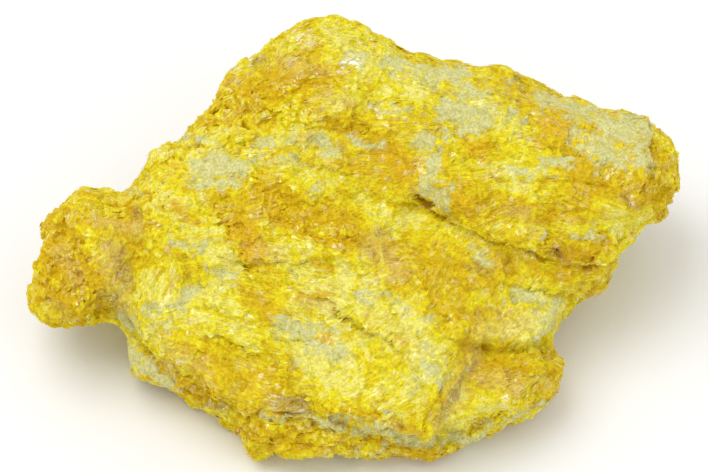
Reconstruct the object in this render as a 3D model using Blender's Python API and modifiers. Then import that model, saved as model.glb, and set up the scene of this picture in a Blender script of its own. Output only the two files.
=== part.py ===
"""Orpiment hand specimen: one broken lump of bladed yellow ore grown through with pale clay.

The lump lies on its broad underside. Its best face leans back, and a viewer looks at it from
VIEW_ELEVATION above the table. The outline and the relief are drawn in the plane that this viewer
sees: u runs to the right, v up and w towards the viewer, all in millimetres. The finished surface
is then turned into the part's own frame, with +Z up, and written in metres.
"""

import math

import bmesh
import bpy
import numpy as np
from mathutils import Vector, noise

NAME = "orpiment_specimen"

MM = 0.001
VIEW_ELEVATION = math.radians(50.0)
SPHERE_SUBDIVISIONS = 7
TRIANGLES = 7400

# The silhouette, anticlockwise from the right, as (u, v).
OUTLINE = [
    (40.0, 0.3), (41.2, 1.9), (43.3, 2.4), (44.0, 4.9), (45.5, 6.3), (45.4, 9.2), (45.8, 10.6),
    (44.7, 13.9), (42.8, 15.3), (39.5, 16.1), (37.0, 17.1), (35.3, 16.9), (33.7, 18.1),
    (31.4, 19.5), (28.1, 20.3), (23.2, 22.4), (20.4, 23.7), (17.4, 23.8), (15.1, 24.5),
    (12.0, 24.6), (9.9, 25.8), (6.9, 26.0), (4.8, 27.2), (3.4, 28.0), (2.2, 28.4), (-0.3, 30.0),
    (-3.2, 31.2), (-7.6, 30.0), (-11.3, 27.7), (-11.5, 26.9), (-13.4, 26.3), (-14.8, 24.9),
    (-16.0, 24.4), (-17.4, 22.8), (-19.3, 20.2), (-19.6, 18.9), (-21.1, 16.9), (-21.6, 16.1),
    (-23.8, 14.7), (-24.4, 13.4), (-26.7, 11.6), (-28.3, 11.3), (-30.0, 9.1), (-31.6, 7.6),
    (-31.3, 6.7), (-32.8, 5.3), (-36.3, 6.2), (-38.4, 6.9), (-39.6, 6.3), (-41.6, 4.1),
    (-43.5, 1.1), (-44.0, -1.3), (-45.2, -4.2), (-45.2, -6.4), (-45.8, -9.0), (-45.6, -10.2),
    (-44.2, -12.0), (-42.6, -13.4), (-38.6, -13.7), (-36.7, -13.2), (-34.0, -12.7),
    (-33.0, -13.6), (-31.6, -14.7), (-32.2, -16.7), (-31.2, -18.2), (-30.9, -19.2),
    (-29.3, -20.6), (-27.4, -21.1), (-25.5, -21.3), (-23.9, -22.8), (-22.1, -24.8),
    (-18.9, -25.8), (-18.1, -27.2), (-16.7, -27.7), (-15.2, -30.1), (-14.0, -31.1),
    (-12.7, -30.7), (-10.5, -29.2), (-9.5, -29.8), (-6.9, -30.4), (-2.9, -30.5), (-1.3, -29.8),
    (1.4, -31.1), (4.3, -30.9), (7.1, -31.2), (9.2, -30.4), (11.8, -30.0), (13.4, -30.1),
    (16.2, -28.6), (18.6, -28.4), (20.4, -27.2), (24.2, -25.8), (26.7, -24.2), (27.4, -22.7),
    (28.4, -20.2), (27.9, -18.5), (27.4, -16.0), (27.7, -14.3), (29.3, -12.0), (30.7, -9.8),
    (34.0, -7.8), (36.5, -4.5), (37.0, -2.2), (38.6, -1.1),
]
CENTRE = (-7.5, -0.6)

# The silhouette's own depth: it leans back as it rises.
RIM_DEPTH = -9.0
RIM_LEAN = -0.29
RIM_WAVE = 1.6
LOWEST_RIM = 1.6

# The face stands this far in front of the silhouette, and the body this far behind it.
FACE_BULGE = 9.0
FACE_EDGE_RADIUS = 6.0
BACK_DEPTH = 27.0
BACK_EDGE_RADIUS = 21.0

# Both ends overhang: this much less depth, growing over these distances left and right of the middle.
OVERHANG = 11.0
OVERHANG_LEFT = (24.0, 40.0)
OVERHANG_RIGHT = (26.0, 42.0)
RELIEF_FADE = 1.5

# Steps in the face. A line runs with its raised side on the left, as (u, v).
LEDGES = {
    "right_block_foot": {
        "line": [(9.9, 4.6), (13.2, 2.0), (16.2, 0.3), (19.0, -1.3), (22.5, -2.8), (26.7, -3.8),
                 (31.6, -3.8), (35.8, -2.9)],
        "rise": 4.2, "width": 0.7, "reach": 6.0,
    },
    "right_layer_foot": {
        "line": [(20.0, -6.7), (23.2, -7.3), (26.7, -7.8), (29.5, -8.5), (33.0, -8.6)],
        "rise": 2.4, "width": 0.6, "reach": 3.5,
    },
    "lower_right_crease": {
        "line": [(15.1, -14.6), (17.6, -15.3), (21.1, -15.7), (24.6, -15.4), (27.7, -14.7)],
        "rise": 2.6, "width": 0.7, "reach": 3.5,
    },
    "hump_flank": {
        "line": [(9.2, -26.5), (11.5, -24.1), (13.7, -21.8), (16.0, -19.0), (17.4, -16.0)],
        "rise": 2.8, "width": 2.2, "reach": 5.0,
    },
    "long_crack": {
        "line": [(-5.0, -8.8), (-2.2, -10.6), (-0.3, -12.0), (2.2, -13.4), (5.7, -15.4),
                 (9.9, -16.2), (13.0, -16.0)],
        "rise": 1.5, "width": 0.5, "reach": 4.0,
    },
    "short_crack": {
        "line": [(-18.5, -14.3), (-16.0, -15.3), (-13.7, -15.8), (-12.3, -16.4), (-10.4, -17.4)],
        "rise": 1.6, "width": 0.5, "reach": 3.5,
    },
    "upper_plate_foot": {
        "line": [(-19.6, -2.8), (-16.2, -4.2), (-13.9, -3.6), (-9.0, -3.6), (-4.8, -3.1),
                 (-1.3, -3.8)],
        "rise": 1.9, "width": 0.6, "reach": 4.0,
    },
    "slab_front_edge": {
        "line": [(-29.4, -15.0), (-26.7, -18.2), (-24.4, -20.7), (-21.6, -22.4), (-18.5, -23.5),
                 (-14.6, -24.5), (-9.7, -23.9), (-5.9, -24.4), (-2.0, -25.9), (2.5, -26.9),
                 (7.1, -27.4), (12.0, -28.0), (16.2, -27.7), (20.4, -26.3), (23.9, -25.3)],
        "rise": 5.0, "width": 0.8, "reach": 5.0,
    },
    "pale_bed_edge": {
        "line": [(-13.9, -27.4), (-7.6, -28.0), (-1.3, -27.7), (6.4, -28.3), (8.5, -29.0),
                 (12.0, -29.1), (16.2, -28.6)],
        "rise": 1.8, "width": 0.4, "reach": 2.0,
    },
    "slab_left_edge": {
        "line": [(-26.5, 2.0), (-28.6, -2.0), (-30.0, -6.2), (-30.4, -10.4), (-29.6, -14.6)],
        "rise": 3.4, "width": 1.3, "reach": 4.0,
    },
    "right_end_step": {
        "line": [(42.1, 4.3), (41.4, 7.1), (42.3, 9.9), (42.1, 12.7), (41.2, 15.7)],
        "rise": 2.4, "width": 0.5, "reach": 3.0,
    },
}

# Rounded swellings, and hollows where the height is negative: centre, radii, height.
SWELLINGS = {
    "left_lobe": ((-39.0, -3.6), (5.5, 7.5), 1.6),
    "lower_hump": ((6.4, -19.5), (10.0, 7.0), 1.8),
    "slab_middle": ((-18.8, -11.5), (11.0, 8.0), 1.6),
    "right_block": ((26.0, 7.0), (14.0, 6.5), 2.0),
    "golden_knob": ((12.7, -4.8), (6.0, 6.0), 1.5),
    "top_dome": ((-4.8, 21.8), (10.0, 7.0), 1.6),
    "orange_block": ((-8.0, 1.0), (8.0, 4.0), 1.0),
    "neck": ((-32.3, -5.5), (1.9, 6.5), -2.6),
    "hinge_hollow": ((10.2, 5.2), (1.2, 1.0), -3.2),
    "upper_pit": ((-15.2, 15.8), (0.9, 0.9), -1.8),
    "brown_pit": ((27.4, -2.0), (2.6, 1.5), -1.6),
    "corner_hollow": ((18.4, -16.6), (2.5, 2.0), -1.6),
}

# Flat breaks on the hidden side: compass direction, upward tilt, and clearance behind the silhouette.
BREAKS = {
    "left_back": (142.0, -6.0, 1.6),
    "middle_back": (104.0, -16.0, 3.4),
    "right_back": (66.0, -3.0, 2.0),
    "low_back": (85.0, -48.0, 13.5),
    "right_end": (18.0, -34.0, 3.5),
    "low_right": (330.0, -44.0, 6.5),
    "low_left": (190.0, -48.0, 12.0),
}
BREAK_SOFTNESS = 0.12

LUMP_SIZE, LUMP_HEIGHT = 13.0, 1.7
KNOB_SIZE, KNOB_HEIGHT = 4.2, 0.85
ROUGH_SIZE, ROUGH_HEIGHT = 4.5, 0.7

# Flat chips broken out of the hidden side, coarse and fine: size across, tilt and step in height.
CHIPS = ((12.0, 0.34, 1.5), (5.5, 0.24, 0.5))
SMOOTHING_PASSES = 2

# The beds run parallel to the face, and stand out as ledges where a side cuts across them.
BEDDING_DIP = math.radians(20.0)
BED_THICKNESS, BED_LENGTH, BED_STEP = 4.0, 34.0, 1.5

# The underside rests on flat patches, with shallow hollows between them.
HOLLOW_SIZE, HOLLOW_HEIGHT, HOLLOW_ROOF = 13.0, 4.0, 2.2

REMESH_SIZE = 0.7
FLAT_WITHIN = 0.08

ORE_COLOUR = (0.86, 0.62, 0.03, 1.0)
ORE_ROUGHNESS = 0.55


def clear_scene():
    for obj in list(bpy.data.objects):
        bpy.data.objects.remove(obj)


def ramp(values, low, high):
    """0 at low and 1 at high, with a smooth turn at both."""
    share = np.clip((values - low) / (high - low), 0.0, 1.0)
    return share * share * (3.0 - 2.0 * share)


def fractal(points, size, octaves, offset=0.0):
    """Smooth noise, about -1 to 1, whose widest lumps are size across."""
    shift = Vector((offset, 2.7 * offset, -1.3 * offset))
    return np.array(
        [noise.fractal(Vector(p) / size + shift, 0.9, 2.1, octaves) for p in points]
    )


def along_outline(shares):
    """Points at these shares of the way round the outline."""
    corners = np.array(OUTLINE + OUTLINE[:1])
    lengths = np.hypot(*np.diff(corners, axis=0).T)
    travelled = np.concatenate([[0.0], np.cumsum(lengths)])
    at = shares * travelled[-1]
    return np.stack([np.interp(at, travelled, corners[:, k]) for k in (0, 1)], axis=1)


def line_distance(points, line):
    """(signed distance, overshoot): left of the line is positive, and overshoot is the way past an end."""
    corners = np.array(line)
    nearest = np.full(len(points), np.inf)
    signed = np.zeros(len(points))
    past = np.zeros(len(points))
    last = len(corners) - 2
    for i, (start, end) in enumerate(zip(corners[:-1], corners[1:])):
        run = end - start
        length = np.hypot(*run)
        free = ((points - start) @ run) / length**2
        foot = start + np.clip(free, 0.0, 1.0)[:, None] * run
        apart = np.hypot(*(points - foot).T)
        side = run[0] * (points - start)[:, 1] - run[1] * (points - start)[:, 0]
        over = np.maximum(-free if i == 0 else 0.0, free - 1.0 if i == last else 0.0) * length
        closer = apart < nearest
        nearest = np.where(closer, apart, nearest)
        signed = np.where(closer, apart * np.sign(side), signed)
        past = np.where(closer, np.maximum(over, 0.0), past)
    return signed, past


def relief(points):
    """Height of the ledges and swellings above the plain face."""
    height = np.zeros(len(points))
    for ledge in LEDGES.values():
        signed, past = line_distance(points, ledge["line"])
        step = np.tanh(signed / ledge["width"]) * np.exp(-np.abs(signed) / ledge["reach"])
        height += 0.5 * ledge["rise"] * step * np.exp(-((past / 2.0) ** 2))
    for centre, radii, rise in SWELLINGS.values():
        off = (points - np.array(centre)) / np.array(radii)
        height += rise * np.exp(-(off**2).sum(axis=1))
    return height


def rounded(distance, radius):
    """Quarter-round profile: 0 at the silhouette and 1 from radius inwards."""
    short = 1.0 - np.clip(distance / radius, 0.0, 1.0)
    return np.sqrt(np.maximum(1.0 - short * short, 0.0))


def back_depth(flat):
    """How far the body reaches behind the silhouette: less at the two ends, which overhang."""
    left_end = ramp(-flat[:, 0], *OVERHANG_LEFT)
    right_end = ramp(flat[:, 0], *OVERHANG_RIGHT)
    return BACK_DEPTH - OVERHANG * np.maximum(left_end, right_end)


def lump_surface(sphere):
    """Turns the points of a unit sphere into the lump, as (u, v, w)."""
    turn = np.arctan2(sphere[:, 1], sphere[:, 0]) % (2.0 * math.pi)
    rim = along_outline(turn / (2.0 * math.pi))
    centre = np.array(CENTRE)
    out = np.clip(np.hypot(sphere[:, 0], sphere[:, 1]), 0.0, 1.0)
    flat = centre + out[:, None] * (rim - centre)
    inside = np.abs(line_distance(flat, OUTLINE + OUTLINE[:1])[0])
    inside[out > 1.0 - 1e-7] = 0.0
    deep = np.column_stack([flat, sphere[:, 2] * 20.0])

    lumps = LUMP_HEIGHT * fractal(deep, LUMP_SIZE, 2, 3.0)
    knobs = KNOB_HEIGHT * fractal(deep, KNOB_SIZE, 3, 11.0)
    rim_depth = RIM_DEPTH + RIM_LEAN * flat[:, 1] + RIM_WAVE * fractal(
        np.column_stack([flat, np.zeros(len(flat))]), 18.0, 2, 7.0
    )
    fade = ramp(inside, 0.0, RELIEF_FADE)
    front = FACE_BULGE * rounded(inside, FACE_EDGE_RADIUS) + fade * (relief(flat) + lumps + knobs)
    back = back_depth(flat) * rounded(inside, BACK_EDGE_RADIUS) - fade * lumps
    w = rim_depth + np.where(sphere[:, 2] >= 0.0, front, -back)
    return np.column_stack([flat, w])


def to_table_frame(seen):
    """Turns (u, v, w) into x, y, z with +Z up."""
    u, v, w = seen.T
    y = v * math.sin(VIEW_ELEVATION) - w * math.cos(VIEW_ELEVATION)
    z = v * math.cos(VIEW_ELEVATION) + w * math.sin(VIEW_ELEVATION)
    return np.column_stack([u, y, z])


def direction(compass, tilt):
    """Unit vector from a compass turn (0 along +X, 90 along +Y) and an upward tilt, in degrees."""
    turn, rise = math.radians(compass), math.radians(tilt)
    level = math.cos(rise)
    return np.array([level * math.cos(turn), level * math.sin(turn), math.sin(rise)])


def break_off(points, rim):
    """Cuts the flat breaks: what stands beyond each is pressed back to it."""
    cut = points.copy()
    for compass, tilt, clearance in BREAKS.values():
        out = direction(compass, tilt)
        beyond = np.maximum(cut @ out - (rim @ out).max() - clearance, 0.0)
        cut -= np.outer(beyond * (1.0 - BREAK_SOFTNESS), out)
    return cut


def chips(points, size, tilt, step):
    """Height of flat chips: a tilted level facet in each cell, with small cliffs between cells."""
    height = np.empty(len(points))
    for i, point in enumerate(points):
        place = Vector(point) / size
        middle = noise.voronoi(place)[1][0]
        lean = noise.cell_vector(middle * 7.3)
        off = (place - middle) * size
        height[i] = 2.0 * tilt * sum(off[k] * (lean[k] - 0.5) for k in range(3))
        height[i] += step * (noise.cell(middle * 3.1) - 0.5)
    return height


def roughen(points, normals):
    """Ledges along the beds and broken chips, faded out where they would change the silhouette."""
    seen = normals @ direction(-90.0, math.degrees(VIEW_ELEVATION))
    up = direction(-90.0, 90.0 - math.degrees(BEDDING_DIP))
    height = points @ up
    in_bed = (points - np.outer(height, up)) / BED_LENGTH + np.outer(height / BED_THICKNESS, up)
    beds = np.tanh(4.0 * fractal(in_bed, 1.0, 2, 19.0))
    sideways = normals - np.outer(normals @ up, up)
    side = np.sqrt((sideways**2).sum(axis=1))
    ledged = ramp(np.abs(seen), 0.08, 0.45)
    hidden = ramp(-seen, 0.04, 0.3)
    front_wall = ledged * ramp(side, 0.5, 0.95) * (1.0 - hidden)
    lumps = ROUGH_HEIGHT * fractal(points, ROUGH_SIZE, 3, 31.0)
    broken = lumps + sum(chips(points, *sizes) for sizes in CHIPS)
    moved = points + sideways * (0.5 * BED_STEP * ledged * beds)[:, None]
    return moved + normals * ((hidden + 0.5 * front_wall) * broken)[:, None]


def rest_on_table(points):
    """Flattens what is under the table, with shallow hollows between the flat rests."""
    level = np.column_stack([points[:, :2], np.zeros(len(points))])
    hollow = HOLLOW_HEIGHT * fractal(level, HOLLOW_SIZE, 3, 23.0)
    placed = points.copy()
    placed[:, 2] = np.maximum(placed[:, 2], np.clip(hollow, 0.0, HOLLOW_ROOF))
    return placed


def ring_points(count=720):
    """Points round the equator of the unit sphere, which become the silhouette."""
    turn = np.arange(count) * 2.0 * math.pi / count
    return np.column_stack([np.cos(turn), np.sin(turn), np.zeros(count)])


def mesh_points(mesh):
    """The mesh's points as an array."""
    points = np.empty(len(mesh.vertices) * 3, np.float32)
    mesh.vertices.foreach_get("co", points)
    return points.reshape(-1, 3).astype(float)


def move_points(mesh, points):
    mesh.vertices.foreach_set("co", points.astype(np.float32).ravel())


def mesh_normals(mesh):
    normals = np.empty(len(mesh.vertices) * 3, np.float32)
    mesh.vertex_normals.foreach_get("vector", normals)
    return normals.reshape(-1, 3).astype(float)


def with_modifier(mesh, kind, **settings):
    """The mesh after one modifier."""
    holder = bpy.data.objects.new("holder", mesh)
    bpy.context.scene.collection.objects.link(holder)
    modifier = holder.modifiers.new(kind, kind)
    for name, value in settings.items():
        setattr(modifier, name, value)
    bpy.context.view_layer.update()
    graph = bpy.context.evaluated_depsgraph_get()
    made = bpy.data.meshes.new_from_object(holder.evaluated_get(graph))
    bpy.data.objects.remove(holder)
    return made


def blank_lump():
    """The lump with its face and breaks, standing at its height over the table, in millimetres."""
    ball = bmesh.new()
    bmesh.ops.create_icosphere(ball, subdivisions=SPHERE_SUBDIVISIONS, radius=1.0)
    sphere = np.array([vert.co[:] for vert in ball.verts])
    rim = to_table_frame(lump_surface(ring_points()))
    points = break_off(to_table_frame(lump_surface(sphere)), rim)
    points[:, 2] -= rim[:, 2].min() - LOWEST_RIM
    for vert, point in zip(ball.verts, points):
        vert.co = point
    mesh = bpy.data.meshes.new(NAME)
    ball.to_mesh(mesh)
    ball.free()
    return mesh


def finish_lump(mesh):
    """Roughened, rested on the table, centred over the origin, lightened and in metres."""
    mesh = with_modifier(mesh, "REMESH", mode="VOXEL", voxel_size=REMESH_SIZE)
    move_points(mesh, roughen(mesh_points(mesh), mesh_normals(mesh)))
    mesh = with_modifier(mesh, "REMESH", mode="VOXEL", voxel_size=REMESH_SIZE)
    mesh = with_modifier(mesh, "SMOOTH", factor=0.5, iterations=SMOOTHING_PASSES)
    move_points(mesh, rest_on_table(mesh_points(mesh)))
    mesh = with_modifier(mesh, "DECIMATE", ratio=TRIANGLES / (2 * len(mesh.polygons)))
    points = mesh_points(mesh)
    points[points[:, 2] < FLAT_WITHIN, 2] = 0.0
    middle = (points.max(axis=0) + points.min(axis=0)) / 2.0
    points[:, :2] -= middle[:2]
    move_points(mesh, points * MM)
    mesh.update()
    return mesh


def ore_material():
    material = bpy.data.materials.new("orpiment")
    material.use_nodes = True
    shader = material.node_tree.nodes["Principled BSDF"]
    shader.inputs["Base Color"].default_value = ORE_COLOUR
    shader.inputs["Roughness"].default_value = ORE_ROUGHNESS
    shader.inputs["Metallic"].default_value = 0.0
    return material


def build():
    clear_scene()
    specimen = bpy.data.objects.new(NAME, finish_lump(blank_lump()))
    specimen.data.materials.append(ore_material())
    collection = bpy.data.collections.new(NAME)
    bpy.context.scene.collection.children.link(collection)
    collection.objects.link(specimen)
    specimen.data.shade_smooth()
    specimen.data.set_sharp_from_angle(angle=math.radians(40.0))


build()
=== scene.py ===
import math

import bmesh
import bpy
import numpy as np
from mathutils import Matrix, Vector


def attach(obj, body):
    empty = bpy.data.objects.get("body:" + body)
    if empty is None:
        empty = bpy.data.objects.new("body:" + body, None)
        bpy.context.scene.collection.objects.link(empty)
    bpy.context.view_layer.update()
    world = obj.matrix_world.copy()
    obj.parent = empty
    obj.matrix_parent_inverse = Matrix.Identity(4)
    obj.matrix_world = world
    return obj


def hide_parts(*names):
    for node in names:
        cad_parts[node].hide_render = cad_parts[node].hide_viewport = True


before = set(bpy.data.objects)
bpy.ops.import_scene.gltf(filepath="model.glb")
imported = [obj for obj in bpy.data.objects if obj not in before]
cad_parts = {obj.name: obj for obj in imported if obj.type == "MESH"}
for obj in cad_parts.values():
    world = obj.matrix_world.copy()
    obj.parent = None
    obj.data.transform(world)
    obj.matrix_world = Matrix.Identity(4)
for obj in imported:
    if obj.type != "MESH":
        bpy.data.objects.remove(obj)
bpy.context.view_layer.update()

mm = 0.001

# The photo's plane, as the camera sees it: x right and y down in pixels, both read from the photo
photoView = {
    "mmPerPixel": 0.14,
    "width": 708,
    "middle": (354.0, 236.0),
    "elevation": 50.0,      # degrees above the table
    "lens": 300.0,          # mm, long, so that the near edge isn't drawn larger
    "sensor": 36.0,         # mm
    "nudge": (0.0, 0.25),   # mm right and up, sets the lump over its place in the photo
}

rockShape = {
    "grid": 0.27,           # mm between the points of the fine surface, before it is thinned out
    "quickGrid": 0.42,
    "triangles": 196000,
    "smoothing": 5,
    "bundle": 5.2,          # mm across one bundle of blades
    "bundleStep": 0.30,     # mm, one bundle stands above the next
    "bundleTilt": 0.12,
    "terrace": 7.5,         # mm across the broken plates, and how far one lies above another
    "terraceStep": 0.48,
    "terracesInSwing": 2.8,     # plates from the noise's middle to its highest places
    "ridge": 0.13,          # mm, height of the ridges along the blades
    "ridgeSize": (8.0, 0.8, 0.8),   # mm along, across and up through the blades
    "chunk": 3.0,           # mm across a broken chunk
    "chunkHeight": 0.60,
    "crumb": 1.3,           # mm across a crumb
    "crumbHeight": 0.30,
    "smallCrumb": 0.55,     # crumbs that lie over the others, as a share of their size
    "fine": 1.1,            # mm across the finest relief
    "fineHeight": 0.12,
    "warp": 0.35,           # mm, how far the plates and blocks are bent out of true
    "warpSize": 1.4,        # mm between places that are bent differently
    "bedSize": (1.7, 22.0),     # mm thick and wide
    "bedHeight": 0.45,      # mm, how far the hard beds stand out on the sides
    "foot": (0.15, 1.0),    # mm above the table where the fine relief starts and is full
}

viewUp = math.radians(photoView["elevation"])
seenUp = np.array([0.0, math.sin(viewUp), math.cos(viewUp)])
towardsCamera = np.array([0.0, -math.cos(viewUp), math.sin(viewUp)])
bedDip = math.radians(20.0)     # the beds lie tilted towards the viewer
bedUp = np.array([0.0, -math.sin(bedDip), math.cos(bedDip)])
alongBed = np.array([0.0, math.cos(bedDip), math.sin(bedDip)])

# Pale clay, as strokes in photo pixels: from x, y, to x, y, half width
clayStrokes = [
    (608, 128, 642, 132, 12), (610, 152, 645, 162, 10), (582, 140, 606, 150, 10),
    (540, 96, 606, 118, 9), (540, 163, 572, 158, 4), (505, 170, 545, 176, 4),
    (446, 110, 486, 114, 10), (466, 126, 492, 120, 6), (422, 140, 446, 138, 8),
    (436, 156, 430, 178, 9), (424, 184, 432, 200, 8), (444, 205, 452, 188, 5),
    (440, 70, 470, 72, 4), (452, 80, 478, 94, 6), (352, 144, 380, 146, 5), (388, 108, 396, 112, 5),
    (474, 258, 484, 262, 8), (570, 238, 598, 240, 4), (528, 236, 540, 238, 5),
    (518, 293, 560, 302, 4), (540, 322, 556, 308, 6), (536, 334, 546, 328, 5),
    (428, 366, 442, 378, 6), (424, 342, 432, 350, 5), (414, 328, 436, 318, 6),
    (362, 290, 370, 302, 6), (345, 421, 394, 433, 6), (394, 434, 440, 438, 6),
    (440, 439, 480, 436, 5), (480, 434, 505, 424, 6), (508, 418, 548, 402, 5),
    (196, 184, 236, 184, 5), (204, 172, 244, 168, 10), (214, 158, 226, 156, 5),
    (266, 143, 292, 139, 7), (392, 62, 436, 74, 7), (318, 136, 332, 152, 7), (280, 158, 300, 160, 4),
    (312, 180, 322, 190, 5), (346, 60, 360, 62, 7), (172, 240, 206, 250, 5),
    (222, 274, 236, 280, 6), (184, 300, 198, 290, 6), (158, 312, 170, 324, 7),
    (124, 316, 136, 326, 6), (130, 352, 170, 384, 10), (298, 360, 308, 368, 7),
    (284, 322, 338, 330, 6), (308, 345, 324, 348, 5), (292, 270, 297, 278, 4),
    (308, 188, 322, 190, 5), (330, 352, 348, 348, 5), (262, 414, 286, 418, 4),
    (204, 408, 222, 413, 4), (186, 356, 194, 360, 3), (130, 190, 140, 194, 4),
    (184, 136, 205, 140, 4), (290, 412, 345, 426, 4), (118, 340, 126, 352, 5),
]

# Places where thin clay is mixed through the ore
mixedClayStrokes = [
    (128, 350, 172, 386, 10),
    (440, 100, 635, 145, 30), (430, 70, 520, 85, 14), (415, 130, 440, 200, 16), (200, 160, 330, 145, 20),
    (170, 245, 225, 275, 9), (150, 320, 200, 290, 14), (280, 325, 345, 355, 14), (370, 285, 420, 320, 8),
    (385, 405, 440, 365, 16), (505, 300, 560, 325, 14), (330, 425, 470, 438, 9), (180, 135, 215, 145, 10),
    (345, 55, 400, 75, 12), (120, 300, 140, 330, 10), (470, 245, 490, 265, 12), (520, 165, 620, 170, 12),
    (350, 100, 430, 125, 10), (585, 225, 640, 235, 10), (440, 215, 470, 240, 8), (472, 356, 444, 412, 6),
    (300, 445, 385, 449, 9),
]

# Golden to ochre ore, then lemon, orange and pinkish ore, as the same kind of strokes
goldStrokes = [
    (48, 220, 80, 300, 24), (350, 120, 400, 180, 24), (430, 250, 470, 300, 26),
    (450, 195, 580, 225, 17), (640, 140, 668, 215, 18), (190, 355, 290, 395, 22),
    (245, 205, 345, 215, 22), (222, 200, 255, 240, 16), (490, 360, 540, 390, 20),
    (260, 70, 320, 90, 20), (560, 115, 540, 140, 12),
    (470, 143, 490, 150, 9), (385, 250, 400, 270, 12), (500, 262, 580, 275, 10),
    (240, 425, 300, 442, 8), (400, 450, 470, 451, 7), (70, 212, 112, 226, 9), (165, 370, 215, 400, 8),
    (580, 176, 640, 200, 14),
    (250, 295, 275, 312, 10), (140, 215, 120, 260, 12), (440, 395, 460, 350, 10),
    (270, 150, 350, 165, 6), (330, 215, 350, 250, 10), (500, 80, 545, 100, 9),
]
lemonStrokes = [
    (160, 200, 230, 255, 16), (160, 290, 200, 330, 18), (290, 250, 330, 300, 18),
    (345, 280, 415, 345, 20), (375, 405, 440, 360, 18), (500, 330, 560, 315, 16),
    (455, 420, 500, 405, 14), (180, 160, 215, 135, 12), (150, 335, 190, 365, 10),
    (480, 225, 640, 230, 6), (300, 120, 350, 100, 12), (330, 30, 380, 60, 14),
    (395, 60, 420, 90, 12), (240, 60, 290, 40, 10), (490, 170, 530, 195, 10),
    (395, 210, 450, 235, 12), (300, 330, 350, 380, 18), (215, 285, 250, 335, 12),
    (480, 110, 520, 130, 8), (505, 405, 540, 380, 8), (360, 200, 400, 225, 10),
    (610, 220, 650, 225, 8), (470, 300, 540, 292, 8),
]
orangeStrokes = [
    (238, 230, 254, 250, 12), (384, 150, 404, 172, 9), (272, 202, 278, 214, 5), (242, 92, 252, 96, 4),
    (548, 122, 566, 132, 9), (468, 146, 482, 152, 7), (602, 113, 614, 117, 5),
    (322, 336, 329, 343, 4), (388, 334, 404, 340, 3), (176, 163, 184, 168, 4),
    (300, 292, 330, 296, 4), (566, 252, 590, 256, 6), (312, 264, 330, 268, 4),
    (255, 300, 270, 306, 5), (312, 338, 328, 342, 4), (528, 384, 545, 386, 4),
    (395, 150, 412, 168, 8), (160, 375, 190, 392, 5), (455, 200, 470, 215, 8),
    (552, 383, 556, 388, 3), (482, 358, 496, 362, 4), (178, 205, 200, 226, 6),
]
pinkStrokes = [
    (112, 248, 122, 292, 9), (122, 268, 130, 282, 6), (296, 138, 314, 142, 5),
    (172, 350, 200, 362, 8), (276, 398, 300, 408, 7), (376, 232, 386, 238, 5),
    (282, 60, 330, 72, 7), (490, 376, 508, 382, 9), (370, 246, 402, 272, 9),
    (62, 250, 80, 275, 7), (100, 218, 140, 232, 6), (474, 352, 444, 416, 8),
    (478, 330, 520, 318, 9), (255, 245, 280, 255, 7), (330, 100, 350, 105, 6),
    (510, 210, 522, 214, 5), (300, 298, 325, 306, 6),
]

# Places with dark mauve grains between the yellow ones
mauveStrokes = [
    (122, 252, 129, 286, 7), (108, 298, 126, 312, 7), (138, 212, 143, 224, 5), (284, 396, 304, 400, 3),
    (374, 238, 386, 232, 4), (548, 252, 570, 258, 5), (250, 60, 262, 56, 4), (52, 300, 70, 310, 5),
    (470, 268, 486, 272, 4), (395, 410, 402, 420, 4), (620, 200, 632, 206, 4),
    (470, 358, 454, 394, 4), (450, 398, 436, 418, 5),
]

# Places where a painted gleam, a near-white highlight, is laid on thin clean faces, which are also glossier
# there
paintedGleamStrokes = [
    (234, 72, 246, 64, 7), (290, 38, 314, 30, 7), (342, 70, 356, 62, 5), (278, 92, 290, 90, 3),
    (250, 314, 256, 316, 3), (404, 312, 416, 330, 5), (274, 396, 300, 410, 5), (196, 200, 208, 214, 4),
    (392, 214, 402, 226, 3), (232, 330, 246, 336, 3), (498, 392, 506, 398, 3), (520, 262, 540, 266, 3),
    (326, 366, 344, 372, 4), (160, 248, 170, 256, 3),
]
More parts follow.
